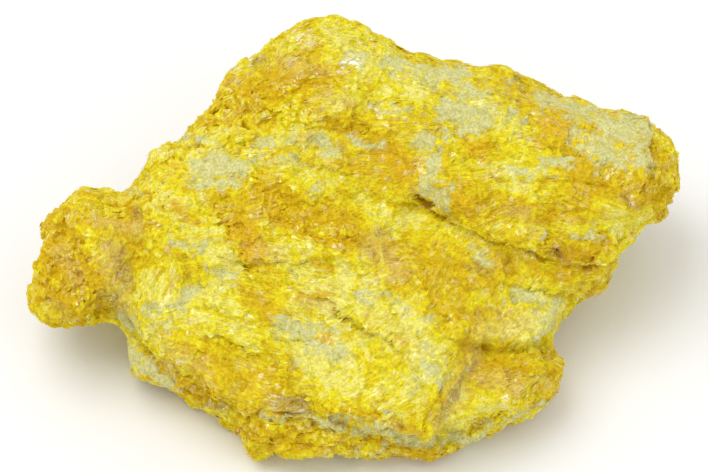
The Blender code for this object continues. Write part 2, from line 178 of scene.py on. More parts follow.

# Cracks and hollows, dark from their depth and from painted shade: a line of pixels, depth in mm, half
# width in pixels, and how far in mm the ground on the line's left stands above the ground on its right
cracks = {
    "rightBlockFoot": ([(416, 206), (440, 217), (468, 232), (500, 245), (530, 257), (560, 264),
                        (600, 264), (628, 250)], 0.9, 2.2, 0.4),
    "rightLayerFoot": ([(497, 284), (540, 291), (572, 298), (600, 290)], 0.6, 2.2, 0.4),
    "lowerRightCrease": ([(462, 343), (480, 347), (500, 350), (526, 347), (552, 334)], 0.6, 2.2, 0.3),
    "humpFoot": ([(424, 412), (436, 392), (448, 372), (456, 352)], 0.1, 4.0, 0.4),
    "longCrack": ([(318, 297), (332, 304), (347, 319), (367, 331), (400, 350)], 0.8, 1.6, 0.3),
    "longCrackEnd": ([(400, 350), (425, 353), (447, 350)], 0.25, 2.0, 0.2),
    "shortCrack": ([(222, 338), (240, 344), (256, 349), (268, 354), (280, 361)], 0.7, 1.6, 0.4),
    "upperPlateFoot": ([(214, 255), (238, 266), (258, 263), (292, 263), (322, 259),
                        (348, 263)], 0.45, 2.0, 0.5),
    "slabFoot": ([(142, 342), (163, 367), (180, 386), (200, 397), (222, 405), (250, 412),
                  (286, 408), (312, 411), (340, 421), (372, 428), (405, 431), (440, 434)], 0.7, 2.4, 0.0),
    "neck": ([(150, 236), (137, 262), (133, 288), (136, 318)], 0.5, 4.0, 0.2),
    "notch": ([(231, 222), (228, 240), (240, 258)], 0.5, 2.4, 0.4),
    "hingeHollow": ([(418, 198), (428, 207)], 1.6, 3.0, 0.0),
    "upperPit": ([(243, 120), (250, 128)], 1.2, 2.6, 0.0),
    "midPit": ([(362, 128), (374, 132)], 0.8, 2.6, 0.0),
    "tanBlockEdge": ([(352, 196), (380, 202), (414, 206)], 0.6, 2.2, 0.6),
    "brownPit": ([(546, 250), (566, 258), (596, 256)], 0.9, 3.4, 0.0),
    "lobeEdge": ([(36, 282), (44, 288)], 0.6, 3.0, 0.0),
    "upperCrease": ([(300, 160), (330, 166), (352, 176)], 0.6, 2.2, 0.3),
    "rightEndStep": ([(640, 205), (648, 180), (654, 150), (652, 120)], 0.7, 2.2, 0.6),
    "centreGap": ([(352, 236), (372, 246), (378, 262)], 0.6, 2.2, 0.2),
    "paleBedFoot": ([(255, 430), (300, 436), (345, 437), (395, 440)], 0.5, 2.2, 0.0),
    "slabSeam": ([(196, 300), (216, 306), (240, 318), (262, 324)], 0.4, 2.0, 0.2),
    "domeSeam": ([(262, 100), (300, 108), (338, 122)], 0.4, 2.0, 0.3),
    "rightSeam": ([(470, 172), (520, 182), (575, 180), (620, 190)], 0.4, 2.0, 0.3),
    "lowRightSeam": ([(480, 378), (510, 372), (548, 374)], 0.4, 2.0, 0.3),
}

# Which way the blades lie: x, y, reach in pixels, and degrees from the right, turning upwards
grainWays = [
    (245, 66, 40, 20), (305, 36, 35, 15), (350, 90, 45, 28), (430, 75, 40, -28), (520, 100, 45, -30),
    (500, 150, 45, 30), (590, 225, 40, -20), (470, 200, 40, 10), (380, 150, 35, 8), (640, 170, 40, 60),
    (200, 160, 45, 35), (150, 210, 40, 40), (60, 250, 40, 80), (146, 280, 30, 58), (200, 300, 35, 20),
    (270, 300, 50, -16), (220, 365, 50, -24), (240, 240, 35, 5), (300, 210, 40, 50), (330, 280, 40, -25),
    (385, 315, 45, 43), (410, 385, 45, 48), (455, 390, 30, 55), (330, 370, 40, 30), (500, 300, 45, 45),
    (500, 375, 30, 4), (530, 400, 30, 35), (450, 270, 40, 60), (390, 255, 30, 35), (330, 440, 50, 2),
    (120, 240, 25, 60),
]

# Where the ore is grainy and not bladed
crumbStrokes = [
    (48, 215, 88, 305, 26), (180, 150, 250, 90, 18), (250, 110, 330, 120, 16), (130, 210, 160, 200, 16),
    (240, 425, 440, 450, 12), (590, 245, 640, 225, 10), (470, 430, 545, 408, 12), (650, 140, 668, 210, 12),
    (260, 185, 340, 240, 18), (225, 215, 250, 260, 12), (160, 365, 220, 400, 10), (300, 395, 420, 425, 7),
    (545, 250, 600, 262, 8), (550, 350, 553, 390, 6), (240, 60, 270, 45, 8), (270, 80, 330, 70, 16),
]

# Where the ore is clean blades with hardly a crumb
bladedStrokes = [
    (385, 405, 450, 360, 26), (350, 275, 425, 335, 26), (500, 325, 560, 285, 22), (150, 310, 175, 250, 16),
    (195, 285, 300, 320, 26), (490, 385, 545, 365, 18), (250, 70, 340, 50, 18), (350, 90, 410, 110, 22),
    (420, 75, 540, 100, 16), (440, 160, 540, 145, 14), (440, 250, 470, 300, 18), (350, 180, 410, 185, 14),
    (230, 370, 300, 385, 16), (560, 230, 640, 215, 12), (290, 350, 350, 400, 22), (370, 215, 420, 240, 16),
]

# Broad folds and hollows with no crack in them: a line, depth in mm and half width in pixels
folds = {
    "humpFlank": ([(482, 350), (470, 376), (456, 400), (444, 424)], 1.1, 9.0),
    "lowRightHollow": ([(470, 342), (500, 350), (530, 348)], 0.8, 9.0),
    "humpCrest": ([(372, 418), (400, 392), (432, 362)], -0.7, 12.0),
    "lowRightCrest": ([(500, 395), (528, 372), (548, 360)], -0.5, 9.0),
    "brightCrest": ([(350, 285), (385, 310), (430, 330)], -0.5, 10.0),
    "slabCrest": ([(170, 300), (200, 268), (216, 262)], -0.4, 10.0),
    "centreHollow": ([(255, 205), (300, 228), (352, 236)], 0.5, 10.0),
    "rightBulge": ([(470, 190), (530, 205), (600, 205)], -0.6, 14.0),
    "bandHollow": ([(440, 150), (490, 165), (560, 158)], 0.4, 9.0),
    "domeHollow": ([(262, 135), (300, 150), (350, 160)], 0.5, 10.0),
    "lobeHollow": ([(70, 230), (84, 262), (74, 295)], 0.5, 9.0),
}


def hashNumbers(cell, salt):  # a steady random number, 0 to 1, for each whole-number cell
    mixed = cell[:, 0] * 73856093 ^ cell[:, 1] * 19349663 ^ cell[:, 2] * 83492791 ^ salt * 6971
    mixed = (mixed ^ (mixed >> 13)) * 1274126177 & 0x7FFFFFFF
    mixed = (mixed ^ (mixed >> 15)) * 668265263 & 0x7FFFFFFF
    return ((mixed ^ (mixed >> 14)) & 0xFFFFF) / 0xFFFFF


def hashVectors(cell, salt):  # three steady random numbers, 0 to 1, for each cell
    return np.column_stack([hashNumbers(cell, salt + k) for k in (1, 2, 3)])


def softNoise(points, size, salt):  # about -1 to 1
    place = points / size
    cell = np.floor(place).astype(np.int64)
    part = place - cell
    ease = part**3 * (part * (part * 6.0 - 15.0) + 10.0)
    total = np.zeros(len(points))
    for corner in np.ndindex(2, 2, 2):
        spot = cell + corner
        lean = hashVectors(spot, salt) * 2.0 - 1.0
        share = np.where(np.array(corner) == 1, ease, 1.0 - ease).prod(axis=1)
        total += share * ((part - corner) * lean).sum(axis=1)
    return total * 1.5


def layeredNoise(points, size, layers, salt):
    return sum(softNoise(points, size / 2.0**k, salt + 11 * k) / 1.8**k for k in range(layers))


def nearestCells(points, size, salt):  # gap to the nearest and second seed in cells, seed place, cell
    place = points / size
    base = np.floor(place).astype(np.int64)
    first = np.full(len(points), 9.0)
    second = first.copy()
    seed = np.zeros_like(points)
    owner = base.copy()
    for step in np.ndindex(3, 3, 3):
        spot = base + step - 1
        middle = spot + hashVectors(spot, salt)
        gap = np.sqrt(((place - middle) ** 2).sum(axis=1))
        nearer = gap < first
        second = np.where(nearer, first, np.minimum(second, gap))
        first = np.where(nearer, gap, first)
        seed[nearer] = middle[nearer]
        owner[nearer] = spot[nearer]
    return first, second, seed * size, owner


def ramp(values, low, high):  # 0 below low and 1 above high, smooth between
    share = np.clip((values - low) / (high - low), 0.0, 1.0)
    return share * share * (3.0 - 2.0 * share)


def fromLeast(least, share):  # the least where share is 0, and 1 where it is 1
    return least + (1.0 - least) * share


def bedNoise(points, thick, wide, salt):  # noise in layers along the beds, so many mm thick and wide
    return layeredNoise(np.outer(points @ bedUp, bedUp) / thick + points / wide, 1.0, 2, salt)


def cropsOut(normals):  # 1 on the sides, where the beds crop out, and 0 on the faces along the beds
    return 1.0 - ramp(np.abs(normals @ bedUp), 0.35, 0.75)


def readPoints(mesh):
    points = np.empty(len(mesh.vertices) * 3, np.float32)
    mesh.vertices.foreach_get("co", points)
    return points.reshape(-1, 3).astype(float) / mm


def writePoints(mesh, points):
    mesh.vertices.foreach_set("co", (points * mm).astype(np.float32).ravel())
    mesh.update()


def readNormals(mesh):
    normals = np.empty(len(mesh.vertices) * 3, np.float32)
    mesh.vertex_normals.foreach_get("vector", normals)
    return normals.reshape(-1, 3).astype(float)


def storeField(mesh, name, values):
    kind = "FLOAT" if values.ndim == 1 else "FLOAT_VECTOR"
    field = mesh.attributes.new(name, kind, "POINT")
    field.data.foreach_set("value" if values.ndim == 1 else "vector", values.astype(np.float32).ravel())


def readField(mesh, name):
    field = mesh.attributes[name]
    width = 1 if field.data_type == "FLOAT" else 3
    values = np.empty(len(mesh.vertices) * width, np.float32)
    field.data.foreach_get("value" if width == 1 else "vector", values)
    return values.astype(float).reshape((-1,) if width == 1 else (-1, 3))


def afterModifier(mesh, kind, **settings):  # a plain mesh of what one modifier makes
    holder = bpy.data.objects.new("holder", mesh)
    bpy.context.scene.collection.objects.link(holder)
    modifier = holder.modifiers.new(kind, kind)
    for name, value in settings.items():
        setattr(modifier, name, value)
    bpy.context.view_layer.update()
    made = bpy.data.meshes.new_from_object(holder.evaluated_get(bpy.context.evaluated_depsgraph_get()))
    bpy.data.objects.remove(holder)
    return made


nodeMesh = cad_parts["orpiment_specimen"].data
nodePoints = readPoints(nodeMesh)
nodeSeenUp = nodePoints @ seenUp
seenMiddle = np.array([
    (nodePoints[:, 0].min() + nodePoints[:, 0].max()) / 2.0,
    (nodeSeenUp.min() + nodeSeenUp.max()) / 2.0,
]) - np.array(photoView["nudge"])
boxLow = nodePoints.min(axis=0)
boxHigh = nodePoints.max(axis=0)


def pixelsOf(points):  # where a point of the lump, in mm, shows in the photo
    seen = np.column_stack([points[:, 0], points @ seenUp]) - seenMiddle
    return np.array(photoView["middle"]) + seen * (1.0, -1.0) / photoView["mmPerPixel"]


def strokeGap(pixels, start, end):  # pixels between each point and a straight stroke
    run = np.array(end, float) - start
    share = np.clip((pixels - start) @ run / max(run @ run, 1e-9), 0.0, 1.0)
    return np.hypot(*(pixels - start - share[:, None] * run).T)


def brushed(pixels, strokes):  # 1 in the middle of a stroke and 0.5 at its edge
    field = np.zeros(len(pixels))
    for x0, y0, x1, y1, half in strokes:
        gap = strokeGap(pixels, (x0, y0), (x1, y1)) / half
        field = np.maximum(field, 1.0 - ramp(gap, 0.0, 2.0))
    return field


grainWander = {"size": 16.0, "share": 0.15}     # mm; it decides where none of the given ways is near


def grainAngle(pixels, points):  # radians; ways a half turn apart count as one
    wave = layeredNoise(points, grainWander["size"], 2, 401)
    sines = grainWander["share"] * np.sin(2.0 * wave * math.pi)
    cosines = grainWander["share"] * np.cos(2.0 * wave * math.pi)
    for x, y, reach, degrees in grainWays:
        share = np.exp(-((pixels - (x, y)) ** 2).sum(axis=1) / reach**2)
        sines += share * math.sin(2.0 * math.radians(degrees))
        cosines += share * math.cos(2.0 * math.radians(degrees))
    return np.arctan2(sines, cosines) / 2.0


# Where the photo shows nothing, noise makes the patches: mm across, layers, salt, and the noise at which
# a patch starts and is full
hiddenPatches = {
    "clay": (13.0, 3, 211, 0.15, 0.75),
    "orange": (7.0, 2, 231, 0.45, 0.9),
    "pink": (9.0, 2, 241, 0.3, 0.9),
    "mauve": (6.0, 2, 251, 0.6, 1.0),
    # The gleam patches are painted highlight on the hidden sides
    "gleam": (5.0, 2, 261, 0.7, 1.0),
}
clayBeds = (2.4, 26.0, 221)     # mm thick, mm wide and salt
clayShares = {"strokes": 0.58, "mixed": 0.25, "most": 0.86}
goldShares = {"everywhere": 0.47, "wide": 0.25, "strokes": 0.40, "lemon": -0.46}
crumbShares = {"hidden": 0.6, "wide": 0.25, "facing": 0.25, "bladed": -0.7}
wideNoise = (15.0, 3, 201)      # mm across, layers and salt
warpShape = {"size": 2.6, "patches": 0.7, "bundles": 0.6}   # mm, the last two are how far each is bent
bundleShape = {"turn": 0.55, "spread": 40.0}    # radians from bundle to bundle, and mm in the patterns


def oreFields(points, normals):
    # Everything that the shape and the materials need to know at each point of the lump
    warp = np.column_stack([layeredNoise(points, warpShape["size"], 4, 31 * k) for k in (1, 2, 3)])
    pixels = pixelsOf(points + warpShape["patches"] * warp)
    facing = ramp(normals @ towardsCamera, -0.35, 0.0)  # 0 where the photo doesn't show the lump

    # Each bundle of blades has its own turn and lean, and its own place in the patterns
    bent = points + warpShape["bundles"] * warp
    near, far, seed, owner = nearestCells(bent, rockShape["bundle"], 61)
    turn = grainAngle(pixelsOf(seed), seed) + bundleShape["turn"] * (hashNumbers(owner, 71) - 0.5)
    seedFacing = hashNumbers(owner, 121) < facing
    up = np.where(seedFacing[:, None], seenUp, alongBed)
    away = np.where(seedFacing[:, None], towardsCamera, bedUp)
    way = np.cos(turn)[:, None] * (1.0, 0.0, 0.0) + np.sin(turn)[:, None] * up
    off = points - seed
    place = np.column_stack([(off * axis).sum(axis=1) for axis in (way, np.cross(away, way), away)])
    place += bundleShape["spread"] * hashVectors(owner, 80)
    lean = hashVectors(owner, 90) - 0.5

    def hidden(name):
        *noise, low, high = hiddenPatches[name]
        return ramp(layeredNoise(points, *noise), low, high)

    def mixed(strokes, unseen):
        return facing * brushed(pixels, strokes) + (1.0 - facing) * unseen

    wide = layeredNoise(points, *wideNoise)
    beds = cropsOut(normals) * ramp(bedNoise(points, *clayBeds), 0.25, 0.6)
    clay = clayShares["strokes"] * mixed(clayStrokes, np.maximum(hidden("clay"), beds))
    clay += clayShares["mixed"] * facing * brushed(pixels, mixedClayStrokes)
    gold = goldShares["everywhere"] + goldShares["wide"] * wide
    gold += facing * (goldShares["strokes"] * brushed(pixels, goldStrokes)
                      + goldShares["lemon"] * brushed(pixels, lemonStrokes))
    crumb = mixed(crumbStrokes, crumbShares["hidden"]) + crumbShares["wide"] * wide
    crumb += crumbShares["facing"] * facing
    crumb += crumbShares["bladed"] * facing * brushed(pixels, bladedStrokes)
    fields = {
        "clay": np.clip(clay, 0.0, clayShares["most"]),
        "gold": np.clip(gold, 0.0, 1.0),
        "orange": mixed(orangeStrokes, hidden("orange")),
        "pink": mixed(pinkStrokes, hidden("pink")),
        "mauve": mixed(mauveStrokes, hidden("mauve")),
        "gleam": mixed(paintedGleamStrokes, hidden("gleam")),
        "crumb": np.clip(crumb, 0.0, 1.0),
        "tone": hashNumbers(owner, 101),
        "inside": ramp(far - near, 0.10, 0.28),     # 0 where two bundles meet
        "bundlePlace": place,
        "grainWay": way,
    }
    bundle = {"rise": hashNumbers(owner, 111) - 0.5, "lean": (off * lean).sum(axis=1)}
    return fields, bundle, pixels, facing


crackShape = {
    "depthShares": (0.15, 0.80, 1.3),   # least, middle and most of the depth that the list gives
    "patch": 3.0,           # mm between deep and shallow places
    "swing": 0.6,           # of the depth, from place to place
    "stepWidth": 2.0,       # pixels from the low side of a step to the high side
    "stepReach": 14.0,      # pixels from the crack at which the step has faded out
}


def crackRelief(pixels, points):
    depth = np.zeros(len(pixels))
    steps = np.zeros(len(pixels))
    least, middle, most = crackShape["depthShares"]
    ragged = middle + crackShape["swing"] * layeredNoise(points, crackShape["patch"], 3, 301)
    ragged = np.clip(ragged, least, most)
    for line, deepest, half, step in cracks.values():
        nearest = np.full(len(pixels), 1e9)
        leftness = np.zeros(len(pixels))
        for start, end in zip(line, line[1:]):
            gap = strokeGap(pixels, start, end)
            run = np.array(end, float) - start
            left = run[1] * (pixels[:, 0] - start[0]) - run[0] * (pixels[:, 1] - start[1])
            left /= np.hypot(*run)
            leftness = np.where(gap < nearest, left, leftness)
            nearest = np.minimum(nearest, gap)
        depth = np.maximum(depth, deepest * ragged * np.exp(-((nearest / half) ** 2)))
        fade = np.exp(-((nearest / crackShape["stepReach"]) ** 2))
        steps += step * np.tanh(leftness / crackShape["stepWidth"]) * fade / 2.0
    return depth, steps


def terraces(values):  # flat treads with short ragged rises between them, and where the rises are
    tread = np.floor(values)
    share = values - tread
    return tread + ramp(share, 0.84, 1.0), ramp(share, 0.78, 0.84) * (1.0 - ramp(share, 0.93, 1.0))


def blocks(points, size, salt):  # broken blocks with slanting tops and tight gaps, about 0 to 1 high
    near, far, seed, owner = nearestCells(points, size, salt)
    lean = hashVectors(owner, salt + 10) - 0.5
    top = 0.35 + 0.65 * hashNumbers(owner, salt + 7) + 0.9 * ((points - seed) / size * lean).sum(axis=1)
    return top * ramp(far - near, 0.0, 0.30)


def relief(points, normals):
    # Height of the fine surface above the plain lump, in mm. Each fromLeast starts with how much of that
    # relief is left under clay, or where the ore is bladed
    fields, bundle, pixels, facing = oreFields(points, normals)
    crumbly = fields["crumb"]
    bare = 1.0 - ramp(fields["clay"], 0.30, 0.60)
    bladed = (1.0 - crumbly) * bare
    warp = np.column_stack([layeredNoise(points, rockShape["warpSize"], 2, 305 + k) for k in range(3)])
    warped = points + rockShape["warp"] * warp
    ridges = layeredNoise(fields["bundlePlace"] / rockShape["ridgeSize"], 1.0, 2, 311)
    plates, rises = terraces(
        rockShape["terracesInSwing"] * layeredNoise(warped, rockShape["terrace"], 3, 315))
    chunks = blocks(warped, rockShape["chunk"], 321) - 0.4
    small = blocks(warped, rockShape["crumb"], 331)
    small += 0.5 * blocks(points, rockShape["smallCrumb"] * rockShape["crumb"], 341)
    small -= 0.6
    fine = layeredNoise(points, rockShape["fine"], 3, 351)
    beds = np.tanh(3.0 * bedNoise(points, *rockShape["bedSize"], 361))

    height = rockShape["bundleStep"] * bundle["rise"] * fromLeast(0.3, bare)
    height += rockShape["bundleTilt"] * bundle["lean"] * fromLeast(0.3, bare)
    height += rockShape["terraceStep"] * plates * fromLeast(0.35, bare) * fromLeast(0.45, crumbly)
    height += rockShape["ridge"] * ridges * fromLeast(0.2, bladed)
    height += rockShape["chunkHeight"] * chunks * fromLeast(0.12, crumbly) * fromLeast(0.4, bare)
    height += rockShape["crumbHeight"] * small * fromLeast(0.08, crumbly) * fromLeast(0.5, bare)
    height += rockShape["fineHeight"] * fine * fromLeast(0.45, crumbly)
    height += rockShape["bedHeight"] * beds * cropsOut(normals) * (1.0 - facing)

    # How high a grain stands among its neighbours, for the painted light: high grains are painted paler,
    # low ground and rises painted as shade
    high = (0.9 * chunks + 1.1 * small) * fromLeast(0.15, crumbly)
    high += (0.4 * fine - 0.7 * rises) * fromLeast(0.4, crumbly)

    cracked, steps = crackRelief(pixels, points)
    cracked *= facing
    for line, deepest, half in folds.values():
        gap = np.min([strokeGap(pixels, a, b) for a, b in zip(line, line[1:])], axis=0)
        steps -= deepest * np.exp(-((gap / half) ** 2))
    return height - cracked + facing * steps, cracked, high


def dropSpecks(mesh):  # thinning the mesh out can pinch off a speck
    made = bmesh.new()
    made.from_mesh(mesh)
    left = set(made.verts)
    islands = []
    while left:
        front = [left.pop()]
        island = list(front)
        while front:
            vert = front.pop()
            fresh = {edge.other_vert(vert) for edge in vert.link_edges} & left
            left -= fresh
            front += fresh
            island += fresh
        islands.append(island)
    islands.sort(key=len)
    specks = [vert for island in islands[:-1] for vert in island]
    bmesh.ops.delete(made, geom=specks, context="VERTS")
    made.to_mesh(mesh)
    made.free()
    print("specks taken off:", len(islands) - 1)


# Loose grains and painted shade start and are full at these: mm above the table, mm deep in a crack, and
# shares of clay, crumb and low ground
coverEdges = {"foot": (1.0, 2.5), "crack": (0.1, 0.4), "clay": (0.35, 0.65), "crumb": (0.1, 0.5)}
shadeEdges = {"gap": (0.55, 1.15), "crack": (0.2, 0.9)}
shadeShares = {"gap": 0.55, "crack": 0.8}


def makeRock():
    bare = nodeMesh.copy()
    joined = bmesh.new()
    joined.from_mesh(bare)
    bmesh.ops.remove_doubles(joined, verts=joined.verts, dist=1e-7)
    joined.to_mesh(bare)
    joined.free()
    bare.materials.clear()
    grid = rockShape["grid"] * mm
    mesh = afterModifier(bare, "REMESH", mode="VOXEL", voxel_size=grid)
    mesh = afterModifier(mesh, "SMOOTH", factor=0.5, iterations=rockShape["smoothing"])
    points, normals = readPoints(mesh), readNormals(mesh)
    height, cracked, high = relief(points, normals)
    height *= ramp(points[:, 2], *rockShape["foot"])
    writePoints(mesh, np.clip(points + height[:, None] * normals, boxLow, boxHigh))
    for name, values in (("plainPoint", points), ("plainNormal", normals), ("cracked", cracked),
                         ("high", high)):
        storeField(mesh, name, values)
    triangles = 2 * len(mesh.polygons)
    if triangles > rockShape["triangles"]:
        mesh = afterModifier(mesh, "DECIMATE", ratio=rockShape["triangles"] / triangles)
        writePoints(mesh, np.clip(readPoints(mesh), boxLow, boxHigh))
        dropSpecks(mesh)

    points, normals, cracked = (readField(mesh, name) for name in ("plainPoint", "plainNormal", "cracked"))
    fields = oreFields(points, normals)[0]
    for name, values in fields.items():
        storeField(mesh, name, values)
    # Painted shade: darker on the low ground between grains, on the rises and in the cracks
    shade = shadeShares["gap"] * ramp(-readField(mesh, "high"), *shadeEdges["gap"])
    shade += shadeShares["crack"] * ramp(cracked, *shadeEdges["crack"])
    storeField(mesh, "shade", np.clip(shade, 0.0, 1.0))

    # Where each kind of loose grain lies: none at the foot, in the cracks or thick on the clay
    cover = ramp(points[:, 2], *coverEdges["foot"]) * (1.0 - ramp(cracked, *coverEdges["crack"]))
    clay = ramp(fields["clay"], *coverEdges["clay"])
    crumb = fields["crumb"]
    bladed = 1.0 - ramp(crumb, *coverEdges["crumb"])
    storeField(mesh, "bladeCover", cover * (1.0 - 0.9 * clay) * bladed)
    storeField(mesh, "flakeCover", cover * (1.0 - 0.9 * clay) * fromLeast(0.6, crumb))
    storeField(mesh, "crumbCover", cover * (1.0 - 0.6 * clay) * fromLeast(0.1, crumb))
    for name in ("plainPoint", "cracked"):
        mesh.attributes.remove(mesh.attributes[name])
    mesh.shade_flat()
    rock = bpy.data.objects.new("rock", mesh)
    bpy.context.scene.collection.objects.link(rock)
    print("rock:", len(mesh.vertices), "points,", len(mesh.polygons), "faces")
    return rock


# Materials

oreColours = {
    "paleLemon": (0.800, 0.735, 0.160, 1.0),
    "lemon": (0.765, 0.675, 0.010, 1.0),
    "gold": (0.715, 0.560, 0.005, 1.0),
    "ochre": (0.640, 0.430, 0.003, 1.0),
    "tan": (0.740, 0.580, 0.180, 1.0),
    "orange": (0.700, 0.450, 0.008, 1.0),
    "pink": (0.680, 0.500, 0.190, 1.0),
    "mauve": (0.300, 0.165, 0.100, 1.0),
    # The gleam colour is a painted highlight
    "gleam": (0.930, 0.905, 0.740, 1.0),
    "clay": (0.510, 0.495, 0.175, 1.0),
    "paleClay": (0.635, 0.620, 0.290, 1.0),
    # Brown of the painted shade in cracks and on low ground, and of the real dark specks
    "shadeAndSpeckBrown": (0.480, 0.240, 0.004, 1.0),
}


# Patterns: what they follow, how often they repeat, detail and roughness. Those on Bundle repeat so often
# in a mm along, across and up through the blades, and those on Place so often in a metre
orePatterns = {
    "broad": ("Bundle", (0.16, 1.1, 1.1), 3.0, 0.55),
    "fine": ("Bundle", (0.30, 3.4, 3.4), 2.0, 0.55),
    "thin": ("Bundle", (0.20, 2.0, 2.0), 2.0, 0.55),
    "drawn": ("Bundle", (0.20, 1.25, 1.25), 3.0, 0.6),
    "rounded": ("Place", (620.0,) * 3, 3.0, 0.6),
    "ragged": ("Place", (900.0,) * 3, 4.0, 0.65),
    "wide": ("Place", (300.0,) * 3, 2.0, 0.55),
    "powder": ("Place", (2600.0,) * 3, 3.0, 0.7),
    "specks": ("Place", (1900.0,) * 3, 2.0, 0.6),
}

# Shares say how much of a pattern or a colour is laid on. An edge is where a pattern starts to show and
# where it is full
oreLook = {
    "toneStops": (("paleLemon", 0.02), ("lemon", 0.30), ("gold", 0.66), ("ochre", 1.0)),
    "goldShares": {"broad": 0.9, "fine": 2.5, "patchy": 2.1, "tone": 0.20},
    # Painted light: the high grains are painted paler
    "paintedLightOnHigh": -0.45,        # the high grains are paler
    "grainsInMetre": 1300.0,
    "grainShare": (0.08, 0.45),     # where the ore is bladed, and where it is crumbly
    # Colour, the field that it keeps to, the pattern that breaks it up, its edge and its share
    "tints": (
        ("tan", None, "thin", (0.51, 0.64), 0.55),
        ("pink", "Pink", "fine", (0.38, 0.62), 0.75),
        ("mauve", "Mauve", "powder", (0.46, 0.56), 0.85),
    ),
    "orangeEdge": (0.35, 0.85),
    "orangeShare": 0.75,
    "clayShares": {"ragged": 1.5, "broad": 1.5, "patchy": 1.8, "wide": 1.2},
    "clayCalm": (0.22, 0.30),   # clay fields under the first are broken up less, down to the second
    "clayEdge": (0.26, 0.70),
    "clayShare": 0.9,
    "clayMix": {"powder": 0.3, "ragged": 0.7},
    "paleClayEdge": (0.36, 0.62),
    "speckEdge": (0.60, 0.72),
    "speckShare": (0.35, 0.7),      # everywhere, and more of it where the ore is crumbly
    "specksUnderClay": 0.6,
    "shadeRagged": 0.5,
    "shadeEdge": (0.15, 1.05),
    "shadeShare": 0.85,
    "paintedGleamEdge": (0.52, 0.58),
    "powderBrightness": 1.1,
    "glintEdge": (0.89, 0.94),      # of the grains' random numbers
    "glintCoat": 0.8,
    "roughness": {"ore": 0.62, "glint": -0.40, "clay": 0.9},
    "heights": {"fine": 0.55, "broad": 0.8, "powder": 0.25, "grains": 0.9},
}

oreMasks = ("tone", "gold", "clay", "orange", "pink", "mauve", "gleam", "shade", "crumb", "high", "inside")
nodesInColumn = 8


def addNode(tree, kind, **settings):  # nodes stand in columns, in the order they are made
    column, row = divmod(len(tree.nodes), nodesInColumn)
    node = tree.nodes.new(kind)
    node.location = (240.0 * column, -220.0 * row)
    for name, value in settings.items():
        setattr(node, name, value)
    return node


def addSockets(tree, side, kind, *names):
    for name in names:
        tree.interface.new_socket(name, in_out=side, socket_type="NodeSocket" + kind)


def setInputs(node, **values):
    for name, value in values.items():
        node.inputs[name].default_value = value


def enabled(sockets):  # those that the node's settings leave on
    return [socket for socket in sockets if socket.enabled]


def feed(tree, value, socket):  # value is another node's output, or a plain value
    if isinstance(value, bpy.types.NodeSocket):
        tree.links.new(value, socket)
    else:
        socket.default_value = value


def calc(tree, operation, first, second):
    node = addNode(tree, "ShaderNodeMath", operation=operation)
    feed(tree, first, node.inputs[0])
    feed(tree, second, node.inputs[1])
    return node.outputs[0]


def plus(tree, first, second):
    return calc(tree, "ADD", first, second)


def minus(tree, first, second):
    return calc(tree, "SUBTRACT", first, second)


def times(tree, first, second):
    return calc(tree, "MULTIPLY", first, second)


def swing(tree, value, share):  # how far a pattern is from its middle, times a share
    return times(tree, minus(tree, value, 0.5), share)


def vectorNode(tree, operation, first, second=None):
    node = addNode(tree, "ShaderNodeVectorMath", operation=operation)
    feed(tree, first, node.inputs[0])
    if second is not None:
        feed(tree, second, node.inputs["Scale" if operation == "SCALE" else 1])
    return node.outputs[0]


def blendNode(tree, share, first, second):
    node = addNode(tree, "ShaderNodeMix", data_type="RGBA")
    for value, socket in zip((share, first, second), enabled(node.inputs)):
        feed(tree, value, socket)
    return enabled(node.outputs)[0]


def edgeNode(tree, value, low, high):  # 0 below low and 1 above high, smooth between
    node = addNode(tree, "ShaderNodeMapRange", interpolation_type="SMOOTHSTEP")
    setInputs(node, **{"From Min": low, "From Max": high})
    feed(tree, value, node.inputs["Value"])
    return node.outputs["Result"]


def slopeNode(tree, value, full, low, high):  # a straight rise from low at 0 to high at full
    node = addNode(tree, "ShaderNodeMapRange")
    setInputs(node, **{"From Max": full, "To Min": low, "To Max": high})
    feed(tree, value, node.inputs["Value"])
    return node.outputs["Result"]


def noiseNode(tree, vector, scale, detail, roughness):
    node = addNode(tree, "ShaderNodeTexNoise")
    setInputs(node, Scale=1.0, Detail=detail, Roughness=roughness)
    feed(tree, vectorNode(tree, "MULTIPLY", vector, scale), node.inputs["Vector"])
    return node.outputs["Fac"]


def cellNode(tree, vector, scale):
    node = addNode(tree, "ShaderNodeTexVoronoi")
    setInputs(node, Scale=scale)
    feed(tree, vector, node.inputs["Vector"])
    return node.outputs["Distance"], node.outputs["Color"]


